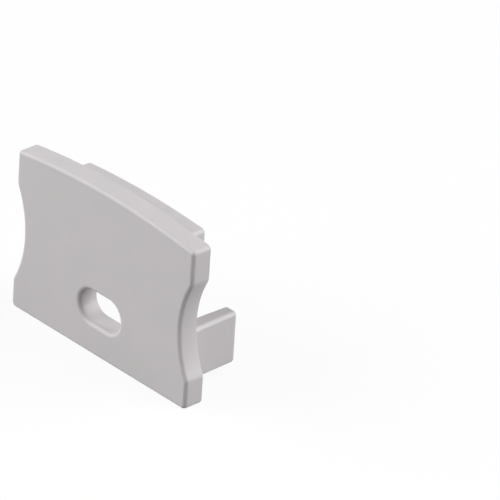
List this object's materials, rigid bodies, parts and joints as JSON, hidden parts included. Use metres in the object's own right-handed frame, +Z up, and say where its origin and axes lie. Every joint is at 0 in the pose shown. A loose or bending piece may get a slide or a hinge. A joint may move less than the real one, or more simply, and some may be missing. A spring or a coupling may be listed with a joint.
{
  "type": "profile end cap",
  "caption": "Snap-in plastic end cap for an extruded lighting profile, with hollow sides, an arched top, a slot for the lead, legs that plug in and a rib that holds the cover.",
  "frame": {"origin": "on the seat plane that meets the sawn end of the profile, at the middle of the profile's base line", "axes": "+X across the profile, +Y from the seat into the profile, along the legs, +Z up from the profile's base to its cover"},
  "size_m": [0.017, 0.0059, 0.0121],
  "materials": {
    "cap": "light grey moulded plastic with a fine matt texture and a slight sheen"
  },
  "bodies": {
    "root": {"end_cap": "cap"}
  },
  "joints": []
}
